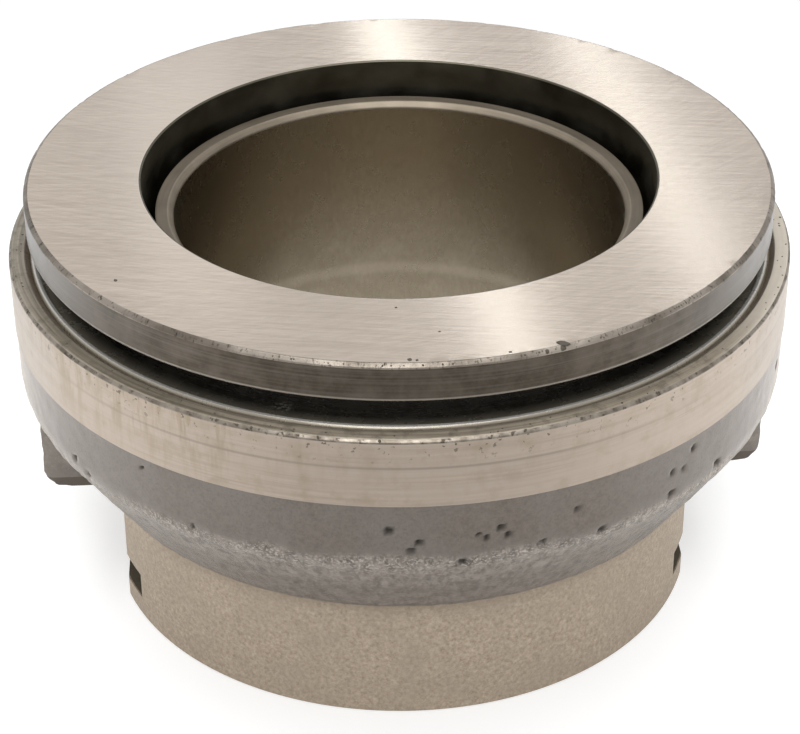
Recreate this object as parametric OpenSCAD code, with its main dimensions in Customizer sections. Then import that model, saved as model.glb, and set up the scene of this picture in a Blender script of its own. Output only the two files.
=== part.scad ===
// Clutch release bearing: a cast guide hub that carries a ball bearing with a turning thrust face.
// The bearing's axis is Z. The sleeve stands on z = 0 and the thrust face is on top.
// Radial sizes build outwards from the guide bore, and heights build upwards from the sleeve's end.

/* [Sleeve and tube] */
// Diameter of the guide bore
bore_d = 45; // [40:0.5:50]
// Wall of the sleeve around the bore
sleeve_wall = 8.1; // [6:0.1:9]
// Height of the plain sleeve below the cast bowl
sleeve_h = 13.3; // [11:0.1:18]
// Wall of the thin tube that rises inside the bearing
tube_wall = 1.8; // [1.4:0.05:2.4]
// How far the tube's lip lies below the thrust face
lip_drop = 3.65; // [1.5:0.05:5]
// Chamfer at the lower end of the guide bore
bore_chamfer = 0.8; // [0.3:0.1:1.2]
// Chamfer on the inside of the tube's lip
lip_chamfer = 0.5; // [0.2:0.1:0.9]
// Chamfer on the sleeve's outer lower edge
sleeve_chamfer = 0.2; // [0.1:0.1:1]

/* [Bowl] */
// Height of the cast cone between the sleeve and the bowl's upright wall
cone_h = 10.8; // [8:0.1:14]
// Step outwards from the sleeve to the cone's lower edge
cone_step = 1.35; // [0.4:0.05:1.6]
// How far the cone's lower edge lies above the sleeve's top
cone_lift = 0.7; // [0.2:0.1:1.4]
// Radius that rounds the cone into the upright wall
bowl_round = 5; // [2:0.5:8]
// Depth of the bowl from its rim to its floor
cup_depth = 13.95; // [12.5:0.05:16]
// Floor height below the cone's top edge
floor_sink = 0.6; // [0:0.1:2]
// Wall of the bowl around the outer race
cup_wall = 2.1; // [1.5:0.1:3]
// Height of the turned band below the rim
band_h = 7.05; // [4:0.05:10]
// Depth by which the cast wall lies inside the turned band
band_step = 0.1; // [0.05:0.05:0.3]
// Chamfer on the rim's outer edge
rim_chamfer = 0.3; // [0.1:0.05:0.8]
// Lead-in chamfer at the bowl's mouth
mouth_chamfer = 0.5; // [0.1:0.05:0.6]

/* [Ears, flats and clip slots] */
// Width of each ear
ear_w = 14; // [10:0.5:18]
// How far each ear's end lies inside the band's outside
ear_inset = 1.95; // [1:0.05:4]
// How far each ear reaches below the cone
ear_drop = 1.1; // [0:0.1:3]
// Radius of each ear's lower outer corner
ear_round = 2; // [0.5:0.25:3]
// Depth of the flats on both sides of the sleeve
flat_depth = 1.6; // [0.4:0.1:2]
// Height of each clip slot above the sleeve's end
slot_z = 2.4; // [1:0.1:5]
// Height of the clip slots
slot_h = 2.9; // [2:0.1:5]
// Depth of the clip slots below the flats
slot_depth = 1.5; // [0.8:0.1:2.5]

/* [Face ring] */
// Radial gap between the tube and the face ring
tube_gap = 1.2; // [0.8:0.05:2]
// Thickness of the flange that carries the thrust face
flange_t = 3.8; // [2.5:0.1:6]
// Gap between the rim and the flange
face_gap = 2.75; // [1.5:0.05:4]
// How far the flange's edge lies inside the band's outside
face_inset = 1.95; // [0.5:0.05:4]
// Chamfer on the thrust face's outer edge
face_chamfer = 0.5; // [0.2:0.1:1.2]
// Chamfer on the thrust face's inner edge
face_bore_chamfer = 0.15; // [0.1:0.05:0.8]
// Height of the neck's lower end above the bowl's floor
neck_lift = 1.2; // [0.6:0.1:2]

/* [Bearing] */
// Diameter of the balls
ball_d = 7.14; // [5.5:0.01:8]
// Number of balls
ball_count = 18; // [12:1:20]
// Clearance between a ball and its raceways
race_gap = 0.1; // [0.02:0.01:0.2]
// Wall of the neck behind its raceway
neck_wall = 2; // [1.2:0.01:3]
// Wall of the outer race behind its raceway
race_wall = 2; // [1.2:0.01:3]
// Height of the loaded shoulders above the raceway's deepest line
high_shoulder = 2.2; // [1.2:0.1:2.4]
// Height of the other shoulders above the raceway's deepest line
low_shoulder = 0.6; // [0.2:0.1:1]
// Chamfer on the outer race's outer edges
race_chamfer = 0.6; // [0.2:0.1:1]
// Thickness of the cage
cage_t = 1.6; // [1:0.1:2]
// Height of the cage's ring above and below the pockets
cage_web = 1.1; // [0.6:0.1:1.3]
// Clearance between a ball and its pocket
pocket_gap = 0.15; // [0.05:0.01:0.3]

/* [Dust shield] */
// Sheet thickness of the dust shield
shield_t = 0.7; // [0.4:0.05:1]
// How far the shield's sheet lies below the rim
shield_drop = 1; // [0.8:0.1:1.6]
// How far the shield's edge stands above the rim
shield_rise = 0; // [0:0.05:0.5]
// Gap between the shield and the face ring's neck
shield_gap = 0.4; // [0.3:0.05:0.8]

/* [Hidden] */
$fn = 96;
overlap = 0.5;
arc_steps = 8;

bore_r = bore_d / 2;
tube_r = bore_r + tube_wall;
sleeve_r = bore_r + sleeve_wall;
face_bore_r = tube_r + tube_gap;

ball_r = ball_d / 2;
groove_r = ball_r + race_gap;
neck_groove_r = face_bore_r + neck_wall;
pitch_r = neck_groove_r + groove_r;
race_groove_r = pitch_r + groove_r;
cup_r = race_groove_r + race_wall;
band_r = cup_r + cup_wall;
cast_r = band_r - band_step;
face_r = band_r - face_inset;
ear_r = band_r - ear_inset;
cone_r = sleeve_r + cone_step;
flat_x = sleeve_r - flat_depth;

cone_top_z = sleeve_h + cone_h;
floor_z = cone_top_z - floor_sink;
rim_z = floor_z + cup_depth;
band_z = rim_z - band_h;
flange_z = rim_z + face_gap;
face_z = flange_z + flange_t;
lip_z = face_z - lip_drop;
neck_z = floor_z + neck_lift;
shield_z = rim_z - shield_drop - shield_t;
ball_z = (floor_z + shield_z) / 2;
cage_h = 2 * (ball_r + pocket_gap + cage_web);
ear_z = sleeve_h - ear_drop;

neck_low_r = neck_groove_r + low_shoulder;
neck_high_r = neck_groove_r + high_shoulder;
race_low_r = race_groove_r - low_shoulder;
race_high_r = race_groove_r - high_shoulder;
shield_r = neck_high_r + shield_gap;

// Lean of the cone from upright, and the length that its rounding takes from each side of the edge
cone_lean = atan2(cast_r - cone_r, cone_h - cone_lift);
bowl_tangent = bowl_round * tan(cone_lean / 2);

function ball_name(i) = str("ball_", i < 10 ? "0" : "", i);
function ball_angle(i) = (i - 1) * 360 / ball_count;

// Points of the rounding between the cone and the upright wall, from the bottom up
function bowl_arc() = [
    for (k = [0 : arc_steps])
        let (a = -cone_lean * (1 - k / arc_steps))
        [cast_r - bowl_round + bowl_round * cos(a), cone_top_z + bowl_tangent + bowl_round * sin(a)]
];

// The ring-shaped path of the balls, grown by the raceway clearance
module raceway() {
    rotate_extrude()
        translate([pitch_r, ball_z])
            circle(r = groove_r);
}

// Outline of half of the hub, turned about the axis
module hub_profile() {
    polygon(concat(
        [
            [bore_r + bore_chamfer, 0],
            [sleeve_r - sleeve_chamfer, 0],
            [sleeve_r, sleeve_chamfer],
            [sleeve_r, sleeve_h],
            [cone_r, sleeve_h + cone_lift]
        ],
        bowl_arc(),
        [
            [cast_r, band_z],
            [band_r, band_z],
            [band_r, rim_z - rim_chamfer],
            [band_r - rim_chamfer, rim_z],
            [cup_r + mouth_chamfer, rim_z],
            [cup_r, rim_z - mouth_chamfer],
            [cup_r, floor_z],
            [tube_r, floor_z],
            [tube_r, lip_z],
            [bore_r + lip_chamfer, lip_z],
            [bore_r, lip_z - lip_chamfer],
            [bore_r, bore_chamfer]
        ]
    ));
}

// One ear on the +X side, with its lower outer corner rounded
module ear() {
    ear_top = floor_z - overlap;
    ear_root = flat_x - overlap;
    rotate([90, 0, 0])
        linear_extrude(ear_w, center = true) {
            translate([ear_root, ear_z])
                square([ear_r - ear_round - ear_root, ear_top - ear_z]);
            translate([ear_root, ear_z + ear_round])
                square([ear_r - ear_root, ear_top - ear_z - ear_round]);
            translate([ear_r - ear_round, ear_z + ear_round])
                circle(r = ear_round);
        }
}

// Cutter for the flat on the sleeve's +X side
module side_flat() {
    translate([flat_x, -sleeve_r, -overlap])
        cube([flat_depth + overlap, 2 * sleeve_r, sleeve_h + overlap]);
}

// Cutter for the straight clip slot on the +X side
module clip_slot() {
    translate([flat_x - slot_depth, -sleeve_r, slot_z])
        cube([slot_depth + flat_depth + overlap, 2 * sleeve_r, slot_h]);
}

module hub() {
    color("#9a9084")
        difference() {
            union() {
                difference() {
                    rotate_extrude() hub_profile();
                    for (side = [0, 180]) rotate(side) side_flat();
                }
                for (side = [0, 180]) rotate(side) ear();
            }
            for (side = [0, 180]) rotate(side) clip_slot();
        }
}

module face_ring() {
    color("#c6b9ac")
        difference() {
            rotate_extrude()
                polygon([
                    [face_bore_r, neck_z],
                    [neck_low_r, neck_z],
                    [neck_low_r, ball_z],
                    [neck_high_r, ball_z],
                    [neck_high_r, flange_z],
                    [face_r, flange_z],
                    [face_r, face_z - face_chamfer],
                    [face_r - face_chamfer, face_z],
                    [face_bore_r + face_bore_chamfer, face_z],
                    [face_bore_r, face_z - face_bore_chamfer]
                ]);
            raceway();
        }
}

module outer_race() {
    color("#aaa69e")
        difference() {
            rotate_extrude()
                polygon([
                    [race_high_r, floor_z],
                    [cup_r - race_chamfer, floor_z],
                    [cup_r, floor_z + race_chamfer],
                    [cup_r, shield_z - race_chamfer],
                    [cup_r - race_chamfer, shield_z],
                    [race_low_r, shield_z],
                    [race_low_r, ball_z],
                    [race_high_r, ball_z]
                ]);
            raceway();
        }
}

// Pressed ring with a rounded upper edge
module dust_shield() {
    edge_z = rim_z + shield_rise - shield_t / 2;
    color("#77726a")
        rotate_extrude() {
            polygon([
                [shield_r, shield_z],
                [cup_r, shield_z],
                [cup_r, edge_z],
                [cup_r - shield_t, edge_z],
                [cup_r - shield_t, shield_z + shield_t],
                [shield_r, shield_z + shield_t]
            ]);
            translate([cup_r - shield_t / 2, edge_z])
                circle(d = shield_t);
        }
}

module ball_cage() {
    color("#8a7a52")
        difference() {
            translate([0, 0, ball_z - cage_h / 2])
                difference() {
                    cylinder(r = pitch_r + cage_t / 2, h = cage_h);
                    translate([0, 0, -overlap])
                        cylinder(r = pitch_r - cage_t / 2, h = cage_h + 2 * overlap);
                }
            for (i = [1 : ball_count])
                rotate(ball_angle(i))
                    translate([pitch_r - cage_t, 0, ball_z])
                        rotate([0, 90, 0])
                            cylinder(r = ball_r + pocket_gap, h = 2 * cage_t);
        }
}

module ball(i) {
    color("#d8d8d8")
        rotate(ball_angle(i))
            translate([pitch_r, 0, ball_z])
                sphere(r = ball_r);
}

hub();
face_ring();
outer_race();
dust_shield();
ball_cage();
for (i = [1 : ball_count])
    ball(i);
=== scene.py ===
import math
import random

import bmesh
import bpy
import numpy as np
from mathutils import Euler, Matrix, Vector


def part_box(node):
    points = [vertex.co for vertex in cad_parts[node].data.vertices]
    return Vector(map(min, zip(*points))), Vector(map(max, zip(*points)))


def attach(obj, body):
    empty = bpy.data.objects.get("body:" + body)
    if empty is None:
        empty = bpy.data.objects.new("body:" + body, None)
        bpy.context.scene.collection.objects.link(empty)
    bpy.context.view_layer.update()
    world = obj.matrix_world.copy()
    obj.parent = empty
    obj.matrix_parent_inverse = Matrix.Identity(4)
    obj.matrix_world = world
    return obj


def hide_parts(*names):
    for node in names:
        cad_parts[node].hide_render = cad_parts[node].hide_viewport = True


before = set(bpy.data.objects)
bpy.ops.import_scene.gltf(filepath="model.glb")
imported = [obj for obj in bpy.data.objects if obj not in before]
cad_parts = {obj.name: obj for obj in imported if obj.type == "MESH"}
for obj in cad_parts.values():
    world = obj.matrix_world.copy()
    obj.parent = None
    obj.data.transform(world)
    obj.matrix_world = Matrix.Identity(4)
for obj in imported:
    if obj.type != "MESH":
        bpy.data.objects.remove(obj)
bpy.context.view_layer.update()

MM = 0.001
SEED = 41


def edge(node, high, axis):
    """A limit of a CAD node's box in mm."""
    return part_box(node)[high][axis] / MM


# Sizes in mm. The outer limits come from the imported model, the rest repeats the part's own values,
# except FACE_CHAMFER, which is as narrow as the photograph shows it.
BAND_R = edge("hub", 1, 0)
LIP_Z = edge("hub", 1, 2)
FACE_R = edge("face_ring", 1, 0)
FACE_Z = edge("face_ring", 1, 2)
NECK_Z = edge("face_ring", 0, 2)
CUP_R = edge("dust_shield", 1, 0)
SHIELD_Z = edge("dust_shield", 0, 2)
SHIELD_TOP = edge("dust_shield", 1, 2)
FLOOR_Z = edge("outer_race", 0, 2)
BORE_R = 22.5
TUBE_R = 24.3
SLEEVE_R = 30.6
SLEEVE_H = 13.3
CONE_R = 31.95
CONE_Z = 14.0
CONE_TOP = 24.1
CAST_R = BAND_R - 0.1
BAND_Z = 30.4
RIM_Z = 37.45
BOWL_ROUND = 5.0
EAR_X = BAND_R - 1.95
EAR_HALF = 7.0
EAR_Z = 12.2
EAR_ROUND = 2.0
FLAT_X = 29.0
SLOT_X = 27.5
SLOT_LOW, SLOT_HIGH = 2.4, 5.3
FACE_BORE_R = 25.5
FLANGE_Z = 40.2
NECK_LOW_R = 28.1
NECK_HIGH_R = 29.7
PITCH_R = 31.17
BALL_Z = 29.625
GROOVE_R = 3.67
SHIELD_R = 30.1
SHIELD_T = 0.7
BORE_CHAMFER = 0.8
LIP_CHAMFER = 0.5
SLEEVE_CHAMFER = 0.2
RIM_CHAMFER = 0.3
MOUTH_CHAMFER = 0.5
FACE_CHAMFER = 0.34
FACE_BORE_CHAMFER = 0.15

# Camera, from the photograph's ellipses
IMAGE_W = 800
FOCAL_PX = 2389.9
SENSOR_MM = 36.0
PITCH = math.radians(31.87)
ROLL = math.radians(-0.345)
TURN = math.radians(3.3)
TARGET = Vector((-0.015, 0.0, 20.783)) * MM
DISTANCE = 249.0 * MM

# Zones of the hub's and the face ring's surfaces, in the order of their materials
CAST, BAND, RIM_EDGE, SLEEVE, RIM_TOP, BORE, LIP, LIP_EDGE = range(8)
FACE, FACE_EDGE, FLANGE, NECK, RING_BORE = range(5)

SEGMENTS = 624
ANGLES = np.linspace(0, 2 * math.pi, SEGMENTS, endpoint=False)


def add_camera():
    data = bpy.data.cameras.new("camera")
    data.sensor_width = SENSOR_MM
    data.lens = FOCAL_PX * SENSOR_MM / IMAGE_W
    data.clip_start = 0.01
    cam = bpy.data.objects.new("camera", data)
    bpy.context.scene.collection.objects.link(cam)
    spin = Matrix.Rotation(-TURN, 4, "Z")
    forward = Vector((0, math.cos(PITCH), -math.sin(PITCH)))
    place = Matrix.Translation(TARGET - forward * DISTANCE)
    aim = Euler((math.pi / 2 - PITCH, 0, 0)).to_matrix().to_4x4()
    roll = Matrix.Rotation(ROLL, 4, "Z")
    cam.matrix_world = spin @ place @ aim @ roll
    bpy.context.scene.camera = cam


# Seeded noise on arrays of points


def lattice(cells, seed):
    """A repeatable number from 0 to 1 for each whole-number cell."""
    mixed = cells[:, 0] * 374761393 + cells[:, 1] * 668265263 + cells[:, 2] * 2147483647 + seed * 974711
    mixed = (mixed ^ (mixed >> 13)) * 1274126177
    mixed = mixed ^ (mixed >> 16)
    return (mixed & 0xFFFF) / 65535.0


def value_noise(points, seed=SEED):
    """Smooth noise from -1 to 1 with features one unit long."""
    cells = np.floor(points).astype(np.int64)
    part = points - cells
    part = part * part * (3 - 2 * part)
    total = np.zeros(len(points))
    for corner in np.ndindex(2, 2, 2):
        pick = np.array(corner)
        weight = np.prod(np.where(pick, part, 1 - part), axis=1)
        total += weight * lattice(cells + pick, seed)
    return 2 * total - 1


def rough_noise(points, octaves, seed=SEED):
    total = np.zeros(len(points))
    for k in range(octaves):
        total += value_noise(points * 2.0**k, seed + k) * 0.5**k
    return total


def smooth_step(value, low, high):
    t = np.clip((value - low) / (high - low), 0, 1)
    return t * t * (3 - 2 * t)


def smooth_max(a, b, k):
    h = np.clip(0.5 + 0.5 * (a - b) / k, 0, 1)
    return b + (a - b) * h + k * h * (1 - h)


def smooth_min(a, b, k):
    return -smooth_max(-a, -b, k)


def divisor(values, least=0.05):
    """The size of a sine or cosine, kept away from zero."""
    return np.maximum(np.abs(values), least)


# Turned shapes. SUPPORT and WELD_GAP are in mm.

ROUND_STEPS = 4
HUB_ROUND_STEPS = 2
SUPPORT = 0.1
WELD_GAP = 0.002
SHARP_ANGLE = math.radians(38)
ARC_POINTS = 13
BOWL_STEPS = 8


def outline(corners, round_steps=ROUND_STEPS):
    """Rows (r, z, zone) of a closed profile.

    A corner is (r, z, rounding, rows to the next, zone to the next).
    """
    count = len(corners)
    rows = []
    for i, (r, z, rounding, steps, zone) in enumerate(corners):
        here = np.array((r, z), float)
        before = np.array(corners[i - 1][:2], float)
        after = np.array(corners[(i + 1) % count][:2], float)
        if rounding:
            start = here + (before - here) / np.linalg.norm(before - here) * rounding
            end = here + (after - here) / np.linalg.norm(after - here) * rounding
            for t in np.linspace(0, 1, round_steps + 1):
                p = start * (1 - t) ** 2 + here * 2 * t * (1 - t) + end * t**2
                rows.append((p[0], p[1], zone))
        else:
            rows.append((r, z, zone))
        first = np.array(rows[-1][:2])
        stop = after
        next_round = corners[(i + 1) % count][2]
        if next_round:
            stop = after + (first - after) / np.linalg.norm(first - after) * next_round
        length = np.linalg.norm(stop - first)
        cuts = list(np.linspace(0, length, steps + 1)[1:-1])
        if steps > 1 and length > 6 * SUPPORT:
            middle = [c for c in cuts if SUPPORT * 2 < c < length - SUPPORT * 2]
            cuts = [SUPPORT, *middle, length - SUPPORT]
        for c in cuts:
            p = first + (stop - first) * c / length
            rows.append((p[0], p[1], zone))
    return rows


def make_object(name, vertices, faces, zones, materials):
    mesh = bpy.data.meshes.new(name)
    mesh.from_pydata(vertices, [], faces)
    mesh.polygons.foreach_set("material_index", zones)
    for material in materials:
        mesh.materials.append(material)
    obj = bpy.data.objects.new(name, mesh)
    bpy.context.scene.collection.objects.link(obj)
    return obj


def weld(obj):
    """Merges points that fall together, then shades smoothly between sharp edges."""
    bm = bmesh.new()
    bm.from_mesh(obj.data)
    bmesh.ops.remove_doubles(bm, verts=bm.verts, dist=WELD_GAP * MM)
    bmesh.ops.recalc_face_normals(bm, faces=bm.faces)
    bm.to_mesh(obj.data)
    bm.free()
    obj.data.shade_smooth()
    obj.data.set_sharp_from_angle(angle=SHARP_ANGLE)


def turned(name, rows, materials, warp=None):
    """A lathe mesh from closed profile rows.

    warp moves the points and may return numbers to keep on them.
    """
    count = len(rows)
    r = np.repeat([row[0] for row in rows], SEGMENTS)
    z = np.repeat([row[1] for row in rows], SEGMENTS)
    a = np.tile(ANGLES, count)
    points = np.stack([r * np.cos(a), r * np.sin(a), z], axis=1)
    kept = {}
    if warp:
        points, kept = warp(points, r, z, a)
    index = np.arange(count * SEGMENTS).reshape(count, SEGMENTS)
    up = np.roll(index, -1, axis=0)
    faces = np.stack([index, np.roll(index, -1, 1), np.roll(up, -1, 1), up], axis=2).reshape(-1, 4)
    zones = np.repeat([row[2] for row in rows], SEGMENTS)
    obj = make_object(name, (points * MM).tolist(), faces.tolist(), zones, materials)
    for key, values in kept.items():
        layer = obj.data.attributes.new(key, "FLOAT", "POINT")
        layer.data.foreach_set("value", values.astype(np.float32))
    weld(obj)
    return obj


# Materials


class Paint:
    """A node material, with small helpers that add and join nodes. Lengths inside it are in mm."""

    def __init__(self, name, **sockets):
        self.mat = bpy.data.materials.new(name)
        self.mat.use_nodes = True
        self.tree = self.mat.node_tree
        self.shader = self.tree.nodes["Principled BSDF"]
        for key, value in sockets.items():
            self.shader.inputs[key.replace("_", " ")].default_value = value
        place = self.tree.nodes.new("ShaderNodeTexCoord").outputs["Object"]
        self.mm = self.add("ShaderNodeVectorMath", {0: place, "Scale": 1 / MM}, operation="SCALE")
        self.flat = self.add("ShaderNodeVectorMath", {0: self.mm, 1: (1, 1, 0)}, operation="MULTIPLY")
        self.unit = self.add("ShaderNodeVectorMath", {0: self.flat}, operation="NORMALIZE")
        self.z = self.add("ShaderNodeSeparateXYZ", {0: self.mm}, out="Z")
        self.r = self.add("ShaderNodeVectorMath", {0: self.flat}, operation="LENGTH", out="Value")

    def add(self, kind, inputs=None, out=0, **props):
        node = self.tree.nodes.new(kind)
        for key, value in props.items():
            setattr(node, key, value)
        for key, value in (inputs or {}).items():
            if isinstance(value, bpy.types.NodeSocket):
                self.tree.links.new(value, node.inputs[key])
            else:
                node.inputs[key].default_value = value
        return node.outputs[out]

    def math(self, operation, a, b=0.0):
        return self.add("ShaderNodeMath", {0: a, 1: b}, operation=operation)

    def times(self, a, b):
        return self.math("MULTIPLY", a, b)

    def from_level(self, level):
        """Distance up or down from a height."""
        return self.math("ABSOLUTE", self.math("SUBTRACT", self.z, level))

    def across(self):
        """From -1 at the hub's left to 1 at its right."""
        return self.add("ShaderNodeSeparateXYZ", {0: self.unit}, out="X")

    def stretch(self, x, y, z):
        return self.add("ShaderNodeVectorMath", {0: self.mm, 1: (x, y, z)}, operation="MULTIPLY")

    def around(self, turns, across, along):
        """Seamless coordinates on a turned face: turns is the ring's radius in noise units."""
        ring = self.add("ShaderNodeVectorMath", {0: self.unit, "Scale": turns}, operation="SCALE")
        lift = self.add("ShaderNodeCombineXYZ", {2: self.times(across, along)})
        return self.add("ShaderNodeVectorMath", {0: ring, 1: lift}, operation="ADD")

    def noise(self, vector, scale=1.0, detail=3.0, rough=0.55):
        inputs = {"Vector": vector, "Scale": scale, "Detail": detail, "Roughness": rough}
        return self.add("ShaderNodeTexNoise", inputs)

    def fit(self, value, low, high, to_low, to_high):
        inputs = {"Value": value, "From Min": low, "From Max": high}
        inputs.update({"To Min": to_low, "To Max": to_high})
        return self.add("ShaderNodeMapRange", inputs)

    def mix(self, factor, a, b):
        def full(c):
            return c if isinstance(c, bpy.types.NodeSocket) else (*c, 1)

        return self.add("ShaderNodeMix", {0: factor, 6: full(a), 7: full(b)}, out=2, data_type="RGBA")

    def kept(self, name):
        return self.add("ShaderNodeAttribute", attribute_name=name, out="Fac")

    def bump(self, height, distance, strength=1.0):
        inputs = {"Height": height, "Distance": distance * MM, "Strength": strength}
        return self.add("ShaderNodeBump", inputs, out="Normal")

    def join(self, **sockets):
        for key, value in sockets.items():
            self.tree.links.new(value, self.shader.inputs[key.replace("_", " ")])
        return self.mat


# Grinding lines: each set's arc centre in mm, lines per mm across it and noise along it
GRIND_ARCS = (((40, 170, 0), 2.6, 0.05), ((-60, -420, 0), 3.4, 0.05), ((-30, 90, 0), 1.8, 0.35))


def ground_face():
    """Ground steel with three sets of long fine lines."""
    p = Paint("ground_face", Metallic=1.0)
    side = p.add("ShaderNodeSeparateXYZ", {0: p.mm}, out="X")
    lines = []
    for centre, spread, run in GRIND_ARCS:
        away = p.add("ShaderNodeVectorMath", {0: p.mm, 1: centre}, operation="DISTANCE", out="Value")
        grid = p.add("ShaderNodeCombineXYZ", {0: p.times(away, spread), 1: p.times(side, run)})
        lines.append(p.noise(grid, 1.0, 4, 0.7))
    grain = p.times(p.math("ADD", p.math("ADD", lines[0], lines[1]), lines[2]), 1 / 3)
    cloud = p.noise(p.stretch(0.045, 0.02, 0), 1.0, 2)
    fleck = p.noise(p.mm, 1.6, 4, 0.7)
    base = p.mix(p.fit(grain, 0.4, 0.6, 0, 1), (0.435, 0.369, 0.308), (0.56, 0.482, 0.41))
    base = p.mix(p.fit(cloud, 0.4, 0.65, 0, 0.5), base, (0.45, 0.39, 0.335))
    base = p.mix(p.fit(fleck, 0.6, 0.75, 0, 0.3), base, (0.40, 0.35, 0.30))
    rough = p.fit(grain, 0.35, 0.65, 0.11, 0.17)
    return p.join(Base_Color=base, Roughness=rough, Normal=p.bump(grain, 0.007))


def edge_grit():
    """The thrust face's edge: thin, dark, worn brighter in places and with black grit stuck to it."""
    p = Paint("edge_grit", Metallic=0.95)
    spots = p.noise(p.around(130, p.z, 2.5), 1.0, 4, 0.7)
    worn = p.noise(p.around(6, p.z, 0.3), 1.0, 2)
    base = p.mix(p.fit(worn, 0.4, 0.62, 0, 1), (0.14, 0.12, 0.099), (0.295, 0.26, 0.222))
    base = p.mix(p.fit(spots, 0.56, 0.66, 0, 0.9), base, (0.035, 0.03, 0.024))
    rough = p.fit(spots, 0.3, 0.7, 0.3, 0.5)
    return p.join(Base_Color=base, Roughness=rough, Normal=p.bump(spots, 0.02))


def flange_side():
    """Dark hardened steel, mottled and lightly turned, with a painted highlight along its lower edge.
    """
    p = Paint("flange_side", Metallic=1.0, Coat_Weight=0.3, Coat_Roughness=0.3)
    mottle = p.noise(p.around(15, p.z, 0.4), 1.0, 5, 0.65)
    turned_lines = p.noise(p.around(1.5, p.z, 5.0), 1.0, 3)
    base = p.mix(p.fit(mottle, 0.35, 0.68, 0, 1), (0.034, 0.025, 0.015), (0.08, 0.065, 0.049))
    base = p.mix(p.fit(turned_lines, 0.45, 0.7, 0, 0.25), base, (0.15, 0.135, 0.118))
    # Painted highlight: a pale line along the flange's lower edge.
    low = p.fit(p.z, FLANGE_Z + 0.15, FLANGE_Z + 0.35, 1, 0)
    base = p.mix(low, base, (0.29, 0.262, 0.228))
    rough = p.fit(mottle, 0.3, 0.7, 0.28, 0.42)
    return p.join(Base_Color=base, Roughness=rough, Normal=p.bump(turned_lines, 0.02, 0.4))


def ring_bore():
    """The dark oily inside of the face ring; on the flange's underside the same dark colour is painted
    shade.
    """
    p = Paint("ring_bore", Metallic=1.0)
    film = p.noise(p.around(6, p.z, 0.3), 1.0, 4)
    base = p.mix(film, (0.06, 0.056, 0.042), (0.13, 0.12, 0.092))
    rough = p.fit(film, 0.3, 0.7, 0.3, 0.5)
    return p.join(Base_Color=base, Roughness=rough, Normal=p.bump(film, 0.02, 0.4))


# The cone darkens over LOW_SKIN_FADE down to LOW_SKIN_Z, where it has a row of spots
LOW_SKIN_Z = 18.2
LOW_SKIN_FADE = 2.2


def cast():
    """As-cast iron: dark and even on the upright wall, paler and rougher on the cone."""
    p = Paint(
        "cast_skin",
        Metallic=0.85,
        Coat_Roughness=0.3,
        Sheen_Weight=0.6,
        Sheen_Roughness=0.3,
        Sheen_Tint=(0.95, 0.86, 0.78, 1),
    )
    coarse = p.kept("rough_skin")
    pit = p.kept("pit")
    skin = p.noise(p.mm, 1.5, 5, 0.65)
    cloud = p.noise(p.mm, 0.16, 3)
    streak = p.noise(p.around(60, p.z, 0.8), 1.0, 4, 0.65)
    grain = p.noise(p.mm, 3.4, 4, 0.75)
    smooth = p.mix(p.fit(skin, 0.3, 0.7, 0, 1), (0.108, 0.087, 0.069), (0.186, 0.157, 0.13))
    smooth = p.mix(p.fit(cloud, 0.35, 0.65, 0, 0.4), smooth, (0.20, 0.178, 0.165))
    smooth = p.mix(p.fit(grain, 0.5, 0.66, 0, 0.45), smooth, (0.085, 0.071, 0.06))
    rough = p.mix(p.fit(streak, 0.38, 0.62, 0, 1), (0.105, 0.087, 0.071), (0.275, 0.242, 0.208))
    rough = p.mix(p.fit(grain, 0.52, 0.7, 0, 0.6), rough, (0.41, 0.37, 0.33))
    shoulder = p.from_level(CONE_TOP - 0.5)
    # Painted glints: pale specks around the cone's shoulder.
    painted_glint = p.times(p.fit(shoulder, 0.5, 2.4, 1, 0), p.fit(grain, 0.5, 0.62, 0, 0.8))
    rough = p.mix(painted_glint, rough, (0.52, 0.475, 0.43))
    dim = p.fit(p.z, LOW_SKIN_Z + LOW_SKIN_FADE, LOW_SKIN_Z, 0, 0.35)
    rough = p.mix(dim, rough, (0.09, 0.074, 0.06))
    row = p.from_level(LOW_SKIN_Z)
    holes = p.fit(p.noise(p.mm, 0.9, 2), 0.56, 0.64, 0, 0.7)
    spots = p.times(p.fit(row, 0.3, 1.3, 1, 0), holes)
    rough = p.mix(spots, rough, (0.09, 0.078, 0.068))
    base = p.mix(coarse, smooth, rough)
    # Painted shadow: the cone's lowest edge darkened, broken up by the streaks.
    low = p.fit(p.z, CONE_Z + 0.7, CONE_Z + 0.2, 0, 0.55)
    foot_shadow = p.times(low, p.fit(streak, 0.4, 0.55, 0.4, 1))
    base = p.mix(foot_shadow, base, (0.045, 0.037, 0.03))
    slope = (CAST_R - CONE_R) / (CONE_TOP - CONE_Z)
    root = CONE_R - CONE_Z * slope
    beyond = p.math("SUBTRACT", p.r, p.times(p.z, slope))
    ear = p.fit(beyond, root + 0.3, root + 0.6, 0, 0.5)
    base = p.mix(ear, base, (0.29, 0.262, 0.235))
    base = p.mix(pit, base, (0.035, 0.031, 0.027))
    height = p.math("ADD", p.times(grain, 0.8), p.times(streak, 0.3))
    depth = p.times(height, p.fit(coarse, 0, 1, 0.35, 1.0))
    film = p.times(p.fit(pit, 0, 0.6, 0.62, 0), p.fit(coarse, 0, 1, 1, 0.45))
    return p.join(
        Base_Color=base,
        Roughness=p.fit(skin, 0.3, 0.7, 0.5, 0.68),
        Coat_Weight=film,
        Normal=p.bump(depth, 0.16, 0.8),
    )


SCORE_Z = 34.5


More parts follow.
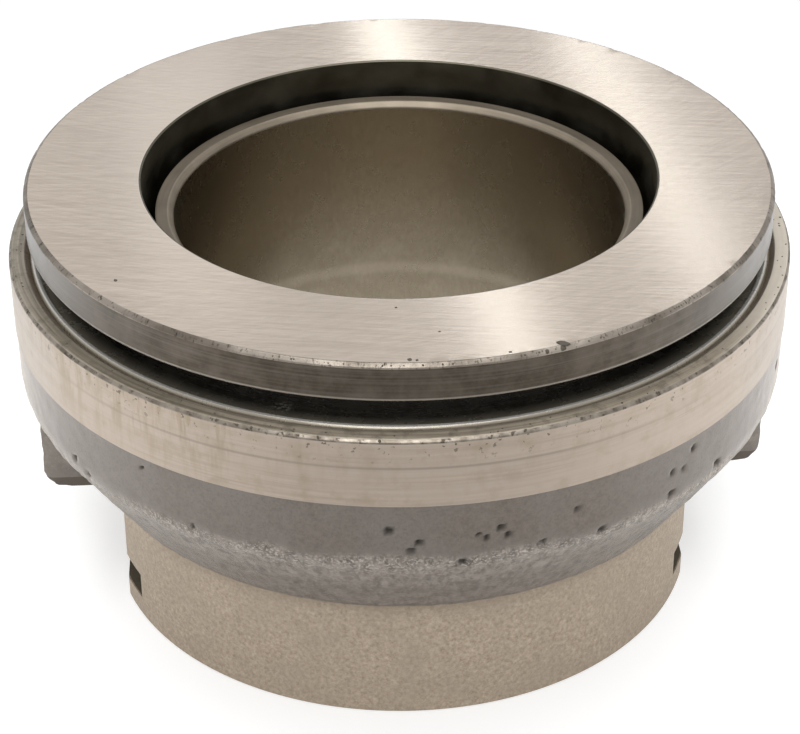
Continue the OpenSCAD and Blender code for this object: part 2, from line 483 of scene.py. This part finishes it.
def turned_band():
    """The turned band: fine streaks, one scored line, rusty runs at the left and grit below the rim."""
    p = Paint("turned_band", Metallic=1.0, Coat_Weight=0.25, Coat_Roughness=0.3)
    fine = p.noise(p.around(3.5, p.z, 4.5), 1.0, 4, 0.6)
    blotch = p.noise(p.mm, 0.5, 4, 0.6)
    wide = p.noise(p.around(1.2, p.z, 0.8), 1.0, 2)
    runs = p.noise(p.around(34, p.z, 0.16), 1.0, 3, 0.65)
    where = p.noise(p.around(1.6, p.z, 0.02), 1.3, 1)
    base = p.mix(p.fit(fine, 0.3, 0.7, 0, 1), (0.29, 0.24, 0.195), (0.38, 0.32, 0.263))
    base = p.mix(p.fit(blotch, 0.5, 0.66, 0, 0.55), base, (0.262, 0.213, 0.155))
    base = p.mix(p.fit(wide, 0.4, 0.62, 0, 0.5), base, (0.373, 0.317, 0.266))
    across = p.across()
    stain = p.times(p.fit(runs, 0.48, 0.62, 0, 0.65), p.fit(where, 0.4, 0.55, 0.3, 1))
    stain = p.times(stain, p.fit(across, -0.05, -0.45, 0.15, 1))
    stain = p.times(stain, p.fit(p.z, BAND_Z, RIM_Z - 1, 0.2, 1))
    base = p.mix(stain, base, (0.225, 0.177, 0.108))
    off = p.from_level(SCORE_Z)
    score = p.times(p.fit(off, 0.06, 0.2, 1, 0), p.fit(wide, 0.38, 0.55, 0.1, 0.6))
    base = p.mix(score, base, (0.20, 0.165, 0.135))
    specks = p.noise(p.mm, 1.7, 3, 0.6)
    grit = p.times(p.fit(specks, 0.63, 0.67, 0, 0.85), p.fit(p.z, RIM_Z - 3, RIM_Z - 0.6, 0, 1))
    base = p.mix(grit, base, (0.07, 0.058, 0.042))
    rough = p.fit(fine, 0.3, 0.7, 0.4, 0.52)
    return p.join(Base_Color=base, Roughness=rough, Normal=p.bump(fine, 0.03, 0.5))


def rim_grease():
    """The rim's top: turned rings under a thin olive film of grease, with painted shade towards the
    left and a painted highlight towards the right.
    """
    p = Paint("rim_grease", Metallic=0.25, Coat_Weight=0.25, Coat_Roughness=0.3)
    rings = p.noise(p.around(2.5, p.r, 4.0), 1.0, 3, 0.65)
    film = p.noise(p.around(24, p.r, 0.6), 1.0, 4, 0.65)
    base = p.mix(p.fit(rings, 0.36, 0.62, 0, 1), (0.20, 0.17, 0.125), (0.425, 0.366, 0.288))
    base = p.mix(p.fit(film, 0.5, 0.68, 0, 0.6), base, (0.085, 0.072, 0.05))
    across = p.across()
    # Painted shade: darker towards the hub's left.
    base = p.mix(p.fit(across, -0.3, -0.65, 0, 0.4), base, (0.085, 0.075, 0.05))
    # Painted highlight: paler towards the hub's right.
    base = p.mix(p.fit(across, 0.72, 0.86, 0, 0.8), base, (0.64, 0.575, 0.48))
    rough = p.fit(film, 0.3, 0.7, 0.35, 0.55)
    return p.join(Base_Color=base, Roughness=rough, Normal=p.bump(rings, 0.03, 0.5))


def rim_edge():
    """The rim's outer corner: bright where it is worn, black where grit sits."""
    p = Paint("rim_edge", Metallic=0.95)
    chips = p.noise(p.mm, 1.1, 5, 0.72)
    worn = p.noise(p.around(30, p.z, 0.5), 1.0, 3)
    base = p.mix(p.fit(worn, 0.35, 0.6, 0, 1), (0.14, 0.12, 0.096), (0.28, 0.246, 0.207))
    base = p.mix(p.fit(chips, 0.55, 0.63, 0, 0.9), base, (0.06, 0.05, 0.038))
    rough = p.fit(chips, 0.3, 0.7, 0.25, 0.5)
    return p.join(Base_Color=base, Roughness=rough, Normal=p.bump(chips, 0.03))


def sleeve_grain():
    """The plain sleeve: fine, even, sandy grain, with painted shade in the clip slots, a painted shadow
    under the cone and painted shade on the ears' lowest strip.
    """
    p = Paint("sleeve_grain", Metallic=0.8)
    grain = p.noise(p.mm, 2.6, 5, 0.75)
    cloud = p.noise(p.mm, 0.22, 3)
    base = p.mix(p.fit(grain, 0.32, 0.68, 0, 1), (0.26, 0.206, 0.153), (0.56, 0.47, 0.37))
    base = p.mix(p.fit(cloud, 0.35, 0.65, 0, 0.35), base, (0.355, 0.297, 0.234))
    # Painted shade inside the clip slots.
    inside = p.math("LESS_THAN", p.r, SLEEVE_R - 0.15)
    level = p.from_level((SLOT_LOW + SLOT_HIGH) / 2)
    slot = p.times(inside, p.math("LESS_THAN", level, (SLOT_HIGH - SLOT_LOW) / 2 + 0.05))
    base = p.mix(p.times(slot, 0.8), base, (0.06, 0.05, 0.03))
    # Painted shadow under the cone's overhang: darker towards the sleeve's top.
    base = p.mix(p.fit(p.z, SLEEVE_H - 1.9, SLEEVE_H - 0.5, 0, 0.3), base, (0.22, 0.18, 0.14))
    # Painted shade on the ears' lowest strip, outside the sleeve.
    base = p.mix(p.fit(p.r, SLEEVE_R + 0.05, SLEEVE_R + 0.2, 0, 0.9), base, (0.10, 0.086, 0.072))
    rough = p.fit(grain, 0.3, 0.7, 0.5, 0.7)
    return p.join(Base_Color=base, Roughness=rough, Normal=p.bump(grain, 0.08, 0.7))


# Height of a painted reflection, a pale ring around the bore
BORE_GLEAM_Z = 20.1
# Heights over which the bore gets darker towards the bottom
BORE_DARKENING_Z = (28.0, 22.5)


def bore_honed():
    """The guide bore: honed smooth, under a thin brown film of oil, with painted shade on its left and
    right sides and a painted reflection as a pale ring.
    """
    p = Paint("bore_honed", Metallic=1.0)
    hone = p.noise(p.around(60, p.z, 1.2), 1.0, 4, 0.65)
    film = p.noise(p.around(5, p.z, 0.25), 1.0, 4)
    base = p.mix(p.fit(hone, 0.3, 0.7, 0, 1), (0.36, 0.305, 0.225), (0.45, 0.39, 0.30))
    base = p.mix(p.fit(film, 0.35, 0.65, 0, 0.5), base, (0.34, 0.285, 0.205))
    across = p.across()
    # Painted shade towards the hub's left side, the darker one.
    base = p.mix(p.fit(across, -0.5, -0.85, 0, 0.5), base, (0.12, 0.106, 0.08))
    # Painted shade towards the hub's right side.
    base = p.mix(p.fit(across, 0.55, 0.9, 0, 0.4), base, (0.27, 0.255, 0.22))
    # Darker towards the bottom of the bore.
    base = p.mix(p.fit(p.z, *BORE_DARKENING_Z, 0, 0.3), base, (0.16, 0.135, 0.098))
    # Painted reflection: a pale ring around the bore at one height.
    line = p.from_level(BORE_GLEAM_Z)
    base = p.mix(p.fit(line, 0.25, 0.9, 0.4, 0), base, (0.48, 0.42, 0.33))
    rough = p.fit(film, 0.3, 0.7, 0.22, 0.3)
    return p.join(Base_Color=base, Roughness=rough, Normal=p.bump(hone, 0.015, 0.4))


def lip_turned(name, dark, light, metallic, rough):
    """The tube's lip, dull under a film of oil."""
    p = Paint(name, Metallic=metallic)
    rings = p.noise(p.around(2, p.r, 3.5), 1.0, 4, 0.65)
    cloud = p.noise(p.around(7, p.r, 0.4), 1.0, 3)
    tone = p.math("ADD", p.times(rings, 0.6), p.times(cloud, 0.4))
    base = p.mix(p.fit(tone, 0.36, 0.64, 0, 1), dark, light)
    rough = p.fit(rings, 0.3, 0.7, *rough)
    return p.join(Base_Color=base, Roughness=rough, Normal=p.bump(rings, 0.02, 0.4))


SCUFF_AT = (-12.4, -31.2, 36.45)
# Radii over which painted light pales the sheet towards its outer edge
SHEET_LIGHT_R = (33.7, 35.5)


def shield_sheet():
    """Pressed sheet: painted shade inside, paler towards its outer edge as painted light, polished
    along its rolled edge with a painted highlight on the crest.
    """
    p = Paint("shield_sheet", Metallic=0.45)
    film = p.noise(p.around(14, p.r, 0.5), 1.0, 4, 0.6)
    rings = p.noise(p.around(2, p.r, 4.0), 1.0, 3)
    # Painted shade: the sheet's near-black colour inside the gap.
    base = p.mix(p.fit(film, 0.3, 0.7, 0, 1), (0.03, 0.027, 0.021), (0.065, 0.058, 0.045))
    base = p.mix(p.fit(rings, 0.5, 0.7, 0, 0.4), base, (0.14, 0.13, 0.11))
    # Painted light: paler towards the outer edge.
    base = p.mix(p.fit(p.r, *SHEET_LIGHT_R, 0, 0.9), base, (0.34, 0.305, 0.245))
    scuff = p.add("ShaderNodeVectorMath", {0: p.mm, 1: SCUFF_AT}, operation="DISTANCE", out="Value")
    torn = p.fit(p.noise(p.mm, 3.0, 3), 0.5, 0.6, 0, 1)
    base = p.mix(p.times(p.fit(scuff, 0.4, 1.2, 1, 0), torn), base, (0.42, 0.39, 0.34))
    # Painted highlight along the rolled edge's crest.
    rolled = p.fit(p.z, SHIELD_TOP - 0.08, SHIELD_TOP - 0.03, 0, 1)
    base = p.mix(rolled, base, (0.58, 0.555, 0.515))
    rough = p.fit(film, 0.3, 0.7, 0.18, 0.34)
    return p.join(Base_Color=base, Roughness=rough, Normal=p.bump(rings, 0.02, 0.4))


def plain_steel(name, dark, light, rough):
    """Ground bearing steel for the parts inside."""
    p = Paint(name, Metallic=1.0)
    film = p.noise(p.mm, 0.9, 4)
    rings = p.noise(p.around(1.5, p.z, 4.0), 1.0, 3)
    base = p.mix(p.fit(film, 0.3, 0.7, 0, 1), dark, light)
    rough = p.fit(film, 0.3, 0.7, *rough)
    return p.join(Base_Color=base, Roughness=rough, Normal=p.bump(rings, 0.01, 0.3))


def dirt():
    """Dry black-brown grains."""
    p = Paint("dirt", Metallic=0.0)
    tone = p.noise(p.mm, 4.0, 3)
    base = p.mix(tone, (0.025, 0.021, 0.016), (0.15, 0.128, 0.098))
    rough = p.fit(tone, 0.3, 0.7, 0.6, 0.85)
    return p.join(Base_Color=base, Roughness=rough, Normal=p.bump(tone, 0.05))


# The hub casting

# Casting pits seen in the photograph: angle in degrees, height and radius in mm
SEEN_PITS = (
    (-95, 27.7, 0.42), (-92, 25.5, 0.34), (-91, 26.4, 0.36), (-83, 26.8, 0.2), (-82, 26.4, 0.3),
    (-80, 27.3, 0.34), (-79, 26.4, 0.36), (-85, 23.7, 0.5), (-74, 24.8, 0.3), (-69, 27.6, 0.26),
    (-65, 24.3, 0.4), (-53, 25.2, 0.4), (-53, 27.6, 0.24), (-51, 27.3, 0.24), (-49, 29.1, 0.3),
    (-43, 25.4, 0.34), (-146, 25.5, 0.3), (-131, 29.2, 0.22), (-143, 24.6, 0.3), (-123, 24.7, 0.28),
)
# Pits that the photograph doesn't show, drawn between these angles, heights and radii
HIDDEN_PITS = 46
HIDDEN_SPANS = ((-30, 205), (15.5, 30.0), (0.16, 0.42))
PIT_DEPTH = 0.3

# Depths of the cast skin in mm
SKIN_DEPTH = 0.022
SKIN_SINK = 0.03
LUMP_DEPTH = 0.07
STREAK_DEPTH = 0.03

LIP_EDGE_STRIP = 0.2


def pit_list():
    draw = random.Random(SEED)
    pits = list(SEEN_PITS)
    for _ in range(HIDDEN_PITS):
        pits.append([draw.uniform(*span) for span in HIDDEN_SPANS])
    return pits


def ear_reach(a, z):
    """How far the ears reach from the axis at each angle and height."""
    low = np.clip(EAR_Z + EAR_ROUND - z, 0, EAR_ROUND)
    reach_x = EAR_X - EAR_ROUND + np.sqrt(EAR_ROUND**2 - low**2)
    flat = reach_x / divisor(np.cos(a))
    side = EAR_HALF / divisor(np.sin(a))
    return smooth_min(flat, side, 0.7)


def hub_rows():
    lean = math.atan2(CAST_R - CONE_R, CONE_TOP - CONE_Z)
    tangent = BOWL_ROUND * math.tan(lean / 2)
    corners = [
        (BORE_R + BORE_CHAMFER, 0, 0.1, 2, SLEEVE),
        (SLEEVE_R - SLEEVE_CHAMFER, 0, 0.06, 1, SLEEVE),
        (SLEEVE_R, SLEEVE_CHAMFER, 0.06, 3, SLEEVE),
        (SLEEVE_R, SLOT_LOW, 0, 1, SLEEVE),
        (SLEEVE_R, SLOT_LOW, 0, 2, SLEEVE),
        (SLEEVE_R, SLOT_HIGH, 0, 1, SLEEVE),
        (SLEEVE_R, SLOT_HIGH, 0, 3, SLEEVE),
    ]
    corners += [(SLEEVE_R, EAR_Z, 0, 1, SLEEVE)] * 4
    corners += [
        (SLEEVE_R, EAR_Z, 0, 4, SLEEVE),
        (SLEEVE_R, SLEEVE_H, 0, 3, CAST),
        (CONE_R, CONE_Z, 0.3, 30, CAST),
    ]
    for k in range(BOWL_STEPS + 1):
        t = -lean * (1 - k / BOWL_STEPS)
        r = CAST_R - BOWL_ROUND + BOWL_ROUND * math.cos(t)
        z = CONE_TOP + tangent + BOWL_ROUND * math.sin(t)
        corners.append((r, z, 0, 1, CAST))
    corners[-1] = (*corners[-1][:2], 0, 16, CAST)
    corners += [
        (CAST_R, BAND_Z, 0, 1, CAST),
        (BAND_R, BAND_Z, 0.04, 3, BAND),
        (BAND_R, RIM_Z - RIM_CHAMFER, 0.1, 1, RIM_EDGE),
        (BAND_R - RIM_CHAMFER, RIM_Z, 0.1, 3, RIM_TOP),
        (CUP_R + MOUTH_CHAMFER, RIM_Z, 0.08, 1, BAND),
        (CUP_R, RIM_Z - MOUTH_CHAMFER, 0.08, 3, RIM_TOP),
        (CUP_R, FLOOR_Z, 0, 3, RIM_TOP),
        (TUBE_R, FLOOR_Z, 0, 4, LIP),
        (TUBE_R, LIP_Z, 0.15, 3, LIP),
        (BORE_R + LIP_CHAMFER, LIP_Z, 0.12, 2, LIP_EDGE),
        (BORE_R, LIP_Z - LIP_CHAMFER, 0.12, 1, LIP_EDGE),
        (BORE_R, LIP_Z - LIP_CHAMFER - LIP_EDGE_STRIP, 0, 3, BORE),
        (BORE_R, BORE_CHAMFER, 0.1, 1, BORE),
    ]
    return outline(corners, HUB_ROUND_STEPS)


def build_hub(materials):
    rows = hub_rows()
    flat_rows = [i for i, row in enumerate(rows) if row[0] == SLEEVE_R and row[1] == SLOT_LOW]
    top_rows = [i for i, row in enumerate(rows) if row[0] == SLEEVE_R and row[1] == SLOT_HIGH]
    ear_rows = [i for i, row in enumerate(rows) if row[0] == SLEEVE_R and row[1] == EAR_Z]
    ledge = next(i for i, row in enumerate(rows) if row[1] == SLEEVE_H)
    band = next(i for i, row in enumerate(rows) if row[2] == BAND)
    number = np.repeat(np.arange(len(rows)), SEGMENTS)

    def warp(points, r, z, a):
        flat = FLAT_X / divisor(np.cos(a))
        r = np.where(number <= ledge, np.minimum(r, flat), r)
        grow = np.interp(number, ear_rows, np.linspace(0, 1, len(ear_rows)))
        grow[number >= band - 1] = 0
        reach = smooth_max(r, ear_reach(a, z), 0.5)
        ear_zone = (number >= ear_rows[0]) & (number < band - 1)
        shaped = np.where(ear_zone, r + (np.maximum(reach, r) - r) * grow, r)
        cast_zone = (number >= ear_rows[-1]) & (number < band - 1)
        place = np.stack([shaped * np.cos(a), shaped * np.sin(a), z], axis=1)
        wavy = value_noise(place * 0.28, SEED + 9)
        coarse = smooth_step(z + 0.7 * wavy, CONE_TOP + 1.1, CONE_TOP - 0.3) * cast_zone
        fade = smooth_step(z, EAR_Z, SLEEVE_H + 0.6) * smooth_step(z, BAND_Z, BAND_Z - 0.5)
        streaks = np.stack([np.cos(a) * 60, np.sin(a) * 60, z * 0.45], axis=1)
        skin = SKIN_DEPTH * rough_noise(place * 0.9, 3)
        lumps = LUMP_DEPTH * rough_noise(place * 1.1, 3, SEED + 3)
        lumps = lumps + STREAK_DEPTH * rough_noise(streaks, 2, SEED + 5)
        shift = (skin + coarse * lumps - SKIN_SINK) * cast_zone * fade
        pit = np.zeros(len(r))
        for angle, height, radius in pit_list():
            turn = (a - math.radians(angle) + math.pi) % (2 * math.pi) - math.pi
            off = np.hypot(turn * shaped, (z - height) * 1.1)
            pit = np.maximum(pit, smooth_step(off, radius * 1.5, radius * 0.5) * cast_zone)
        shaped = shaped + shift - PIT_DEPTH * pit
        points = np.stack([shaped * np.cos(a), shaped * np.sin(a), z], axis=1)
        cut = (number >= flat_rows[-1]) & (number <= top_rows[0])
        points[:, 0] = np.where(cut, np.clip(points[:, 0], -SLOT_X, SLOT_X), points[:, 0])
        return points, {"rough_skin": coarse, "pit": pit}

    obj = turned("hub_casting", rows, materials, warp)
    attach(obj, "hub")
    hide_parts("hub")


# The face ring

FACE_SINK = 0.04
EDGE_STRIP = 0.11
CHIP_DEPTH = 0.07


def build_face_ring(materials):
    groove = []
    top = FACE_Z - FACE_SINK
    start = math.acos((PITCH_R - NECK_HIGH_R) / GROOVE_R)
    stop = math.acos((PITCH_R - NECK_LOW_R) / GROOVE_R)
    for t in np.linspace(-stop, start, ARC_POINTS):
        r, z = PITCH_R - GROOVE_R * math.cos(t), BALL_Z + GROOVE_R * math.sin(t)
        groove.append((r, z, 0, 1, NECK))
    corners = [
        (FACE_BORE_R, NECK_Z, 0.2, 2, NECK),
        (NECK_LOW_R, NECK_Z, 0.2, 2, NECK),
        *groove,
        # The flange's underside takes the dark inside colour as painted shade.
        (NECK_HIGH_R, FLANGE_Z, 0.3, 4, RING_BORE),
        (FACE_R, FLANGE_Z, 0.22, 6, FLANGE),
        (FACE_R, top - FACE_CHAMFER, 0.12, 3, FACE_EDGE),
        (FACE_R - FACE_CHAMFER, top, 0.1, 1, FACE_EDGE),
        (FACE_R - FACE_CHAMFER - EDGE_STRIP, top, 0, 14, FACE),
        (FACE_BORE_R + FACE_BORE_CHAMFER, top, 0.05, 1, RING_BORE),
        (FACE_BORE_R, FACE_Z - FACE_BORE_CHAMFER, 0.05, 8, RING_BORE),
    ]
    rows = outline(corners)

    def warp(points, r, z, a):
        around = np.stack([np.cos(a) * 55, np.sin(a) * 55, z * 1.2], axis=1)
        chips = value_noise(around, SEED + 21)
        near = smooth_step(r, FACE_R - 0.75, FACE_R - 0.3)
        near = near * smooth_step(z, FACE_Z - 0.7, FACE_Z - 0.4)
        bite = CHIP_DEPTH * np.clip(chips - 0.25, 0, 1) * near
        points = points - np.stack([np.cos(a) * bite, np.sin(a) * bite, bite], axis=1)
        return points, {}

    obj = turned("thrust_ring", rows, materials, warp)
    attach(obj, "face_ring")
    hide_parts("face_ring")


# The dust shield


def build_shield(materials):
    top = SHIELD_TOP
    sheet = SHIELD_Z + SHIELD_T
    half = SHIELD_T / 2
    rolled = [
        (CUP_R - half + half * math.cos(t), top - half + half * math.sin(t), 0, 1, 0)
        for t in np.linspace(0, math.pi, ARC_POINTS)
    ]
    corners = [
        (SHIELD_R, SHIELD_Z, 0.15, 4, 0),
        (CUP_R, SHIELD_Z, 0.3, 2, 0),
        *rolled,
        (CUP_R - SHIELD_T, sheet, 0.35, 8, 0),
        (SHIELD_R, sheet, 0.2, 1, 0),
    ]
    obj = turned("dust_shield_sheet", outline(corners), materials)
    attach(obj, "hub")
    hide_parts("dust_shield")


# Dirt

# Grains seen flat on the face: angle in degrees, radius and size in mm
FLAT_GRAINS = (
    (-143, 34.0, 0.2), (-94, 27.2, 0.14), (-92, 36.1, 0.22),
    (-91, 36.2, 0.14), (-78, 36.2, 0.16), (-87, 31.6, 0.12),
)
# Angles of the lumps seen on the rim's edge, and angles and heights of those on the band
RIM_LUMPS = (-118, -115, -113, -104, -96, -77, -69, -60, -57)
BAND_LUMPS = ((-124, 34.3), (-69, 30.9), (-52, 32.6), (-49, 33.8))
# Numbers of fine grains, drawn at random
FACE_GRAINS = 60
RIM_GRAINS = 150


def add_grains(name, body, spots, material):
    """Small irregular grains, sunk into what carries them.

    A spot is (angle, r, z, size, height, tilt), in mm and degrees.
    """
    draw = random.Random(SEED + len(spots))
    whole = bmesh.new()
    for angle, r, z, size, height, tilt in spots:
        shape = bmesh.new()
        bmesh.ops.create_icosphere(shape, subdivisions=2, radius=1.0)
        wide = draw.uniform(0.75, 1.25)
        twist = draw.uniform(0, math.pi)
        for v in shape.verts:
            v.co *= 1 + draw.uniform(-0.16, 0.16)
        scale = Matrix.Diagonal((size * wide, size / wide, height, 1))
        turn = Matrix.Rotation(math.radians(angle), 4, "Z")
        lean = Matrix.Rotation(math.radians(tilt), 4, "Y")
        spin = Matrix.Rotation(twist, 4, "Z")
        place = turn @ Matrix.Translation((r, 0, z)) @ lean @ spin @ scale
        shape.transform(Matrix.Scale(MM, 4) @ place)
        mesh = bpy.data.meshes.new("grain")
        shape.to_mesh(mesh)
        shape.free()
        whole.from_mesh(mesh)
        bpy.data.meshes.remove(mesh)
    mesh = bpy.data.meshes.new(name)
    whole.to_mesh(mesh)
    whole.free()
    mesh.materials.append(material)
    mesh.shade_smooth()
    obj = bpy.data.objects.new(name, mesh)
    bpy.context.scene.collection.objects.link(obj)
    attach(obj, body)


def face_spots():
    top = FACE_Z - FACE_SINK
    flat = [(angle, r, top, size, 0.03, 0) for angle, r, size in FLAT_GRAINS]
    edge_lumps = [
        (-70.6, FACE_R - 0.2, top - 0.2, 0.3, 0.12, 45),
        (-70.3, FACE_R - 0.6, top, 0.5, 0.035, 0),
        (-73, FACE_R - 0.15, top - 0.2, 0.2, 0.1, 45),
    ]
    draw = random.Random(SEED + 2)
    for _ in range(FACE_GRAINS):
        angle = draw.gauss(-88, 26) if draw.random() < 0.6 else draw.uniform(0, 360)
        edge_lumps.append((angle, FACE_R - 0.19, top - 0.17, draw.uniform(0.04, 0.11), 0.06, 45))
    return flat + edge_lumps


def rim_spots():
    spots = []
    for angle in RIM_LUMPS:
        spots.append((angle, BAND_R - 0.18, RIM_Z - 0.17, 0.16, 0.1, 45))
    draw = random.Random(SEED + 3)
    for _ in range(RIM_GRAINS):
        inset = draw.choice((0.17, 0.17, 0.45, 0.8, 1.2))
        on_edge = inset < RIM_CHAMFER
        z = RIM_Z - inset if on_edge else RIM_Z
        size = draw.uniform(0.05, 0.13)
        spots.append((draw.uniform(0, 360), BAND_R - inset, z, size, 0.06, 45 if on_edge else 0))
    for angle, z in BAND_LUMPS:
        spots.append((angle, BAND_R - 0.075, z, 0.17, 0.07, 90))
    return spots


# Floor, world and lamps. Lamps are in mm and watts.

FLOOR_M = 6
FLOOR_GREY = (0.55, 0.55, 0.55, 1)
FLOOR_GLOW = 0.58
WHITE = (1, 1, 1, 1)
WORLD_LIGHT = 0.25
TUBE_OVERRUN = 1.15
TUBE_TINT = (0.9, 0.97, 1)


def seen_directly(nodes, links):
    """1 for camera, glossy and transmission rays, so that metal shows the white background too."""
    path = nodes.new("ShaderNodeLightPath")
    first = nodes.new("ShaderNodeMath")
    first.operation = "MAXIMUM"
    links.new(path.outputs["Is Camera Ray"], first.inputs[0])
    links.new(path.outputs["Is Glossy Ray"], first.inputs[1])
    second = nodes.new("ShaderNodeMath")
    second.operation = "MAXIMUM"
    links.new(first.outputs[0], second.inputs[0])
    links.new(path.outputs["Is Transmission Ray"], second.inputs[1])
    return second.outputs[0]


def add_floor():
    bpy.ops.mesh.primitive_plane_add(size=FLOOR_M)
    floor = bpy.context.object
    floor.name = "floor"
    mat = bpy.data.materials.new("floor")
    mat.use_nodes = True
    nodes, links = mat.node_tree.nodes, mat.node_tree.links
    shader = nodes["Principled BSDF"]
    shader.inputs["Base Color"].default_value = FLOOR_GREY
    shader.inputs["Roughness"].default_value = 0.9
    shader.inputs["Specular IOR Level"].default_value = 0.0
    shader.inputs["Emission Color"].default_value = WHITE
    glow = nodes.new("ShaderNodeMath")
    glow.operation = "MULTIPLY"
    links.new(seen_directly(nodes, links), glow.inputs[0])
    glow.inputs[1].default_value = FLOOR_GLOW
    links.new(glow.outputs[0], shader.inputs["Emission Strength"])
    floor.data.materials.append(mat)


def add_world():
    world = bpy.data.worlds.new("studio")
    bpy.context.scene.world = world
    world.use_nodes = True
    nodes, links = world.node_tree.nodes, world.node_tree.links
    soft = nodes["Background"]
    soft.inputs["Color"].default_value = WHITE
    soft.inputs["Strength"].default_value = WORLD_LIGHT
    white = nodes.new("ShaderNodeBackground")
    white.inputs["Color"].default_value = WHITE
    white.inputs["Strength"].default_value = 1.0
    both = nodes.new("ShaderNodeMixShader")
    links.new(seen_directly(nodes, links), both.inputs[0])
    links.new(soft.outputs[0], both.inputs[1])
    links.new(white.outputs[0], both.inputs[2])
    links.new(both.outputs[0], nodes["World Output"].inputs["Surface"])


def add_lamp(name, place, aim, size, power, along=(1, 0, 0), spread=180, tint=(1, 1, 1)):
    """A soft rectangular lamp in mm, whose long side runs along a direction."""
    data = bpy.data.lights.new(name, "AREA")
    data.shape = "RECTANGLE"
    data.size, data.size_y = size[0] * MM, size[1] * MM
    data.energy = power
    data.color = tint
    data.spread = math.radians(spread)
    lamp = bpy.data.objects.new(name, data)
    bpy.context.scene.collection.objects.link(lamp)
    back = (Vector(place) - Vector(aim)).normalized()
    side = (Vector(along) - back * back.dot(Vector(along))).normalized()
    up = back.cross(side)
    turn = Matrix((side, up, back)).transposed().to_4x4()
    lamp.matrix_world = Matrix.Translation(Vector(place) * MM) @ turn
    lamp.visible_camera = False


def add_tube(name, ends, width, power):
    """A slim lamp between two points, which the thrust face mirrors as a streak."""
    a, b = Vector(ends[0]), Vector(ends[1])
    size = ((b - a).length * TUBE_OVERRUN, width)
    add_lamp(name, (a + b) / 2, (0, 0, FACE_Z), size, power, along=b - a, tint=TUBE_TINT)


def add_lamps():
    """Slim lamps behind, which streak the ground face, soft ones above and in front, and side pools."""
    part = (0, 0, 40)
    add_tube("tube_middle", ((27, 583, 285), (69, 466, 361)), 12, 0.019)
    add_tube("tube_right", ((99, 574, 288), (136, 486, 339)), 12, 0.0122)
    add_tube("tube_left", ((-47, 566, 297), (-37, 498, 342)), 40, 0.004)
    add_lamp("overhead", (0, -100, 750), part, (500, 500), 2.8)
    add_lamp("front", (-60, -480, 560), part, (350, 250), 1.8)
    for side in (-1, 1):
        place, aim = (side * 115, -20, 95), (side * 115, -20, 0)
        add_lamp("pool", place, aim, (150, 110), 0.10, along=(0, 1, 0), spread=70)


def finish_inner_parts():
    """Materials of the bearing's inner parts, which keep their CAD shapes."""
    looks = {
        "outer_race": plain_steel("race_steel", (0.40, 0.385, 0.36), (0.55, 0.53, 0.50), (0.18, 0.3)),
        "ball_cage": plain_steel("cage_brass", (0.42, 0.31, 0.13), (0.62, 0.47, 0.22), (0.28, 0.42)),
        "ball": plain_steel("ball_steel", (0.62, 0.61, 0.60), (0.74, 0.73, 0.72), (0.06, 0.14)),
    }
    for name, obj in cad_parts.items():
        look = looks.get(name) or (looks["ball"] if name.startswith("ball_") else None)
        if look:
            obj.data.materials.clear()
            obj.data.materials.append(look)


add_camera()
add_floor()
add_world()
add_lamps()
finish_inner_parts()
# The lip's flat top and its chamfer are one turned finish, coloured apart for how light falls on each:
# painted light and shade.
lip = lip_turned("lip_turned", (0.11, 0.09, 0.066), (0.172, 0.143, 0.106), 0.4, (0.5, 0.65))
lip_edge = lip_turned("lip_edge", (0.175, 0.148, 0.112), (0.265, 0.226, 0.176), 0.9, (0.45, 0.6))
outside = [cast(), turned_band(), rim_edge(), sleeve_grain()]
build_hub([*outside, rim_grease(), bore_honed(), lip, lip_edge])
neck_steel = plain_steel("neck_steel", (0.42, 0.40, 0.375), (0.55, 0.53, 0.50), (0.2, 0.32))
build_face_ring([ground_face(), edge_grit(), flange_side(), neck_steel, ring_bore()])
build_shield([shield_sheet()])
grain_look = dirt()
add_grains("face_dirt", "face_ring", face_spots(), grain_look)
add_grains("rim_dirt", "hub", rim_spots(), grain_look)

bpy.context.scene.view_settings.view_transform = "Standard"
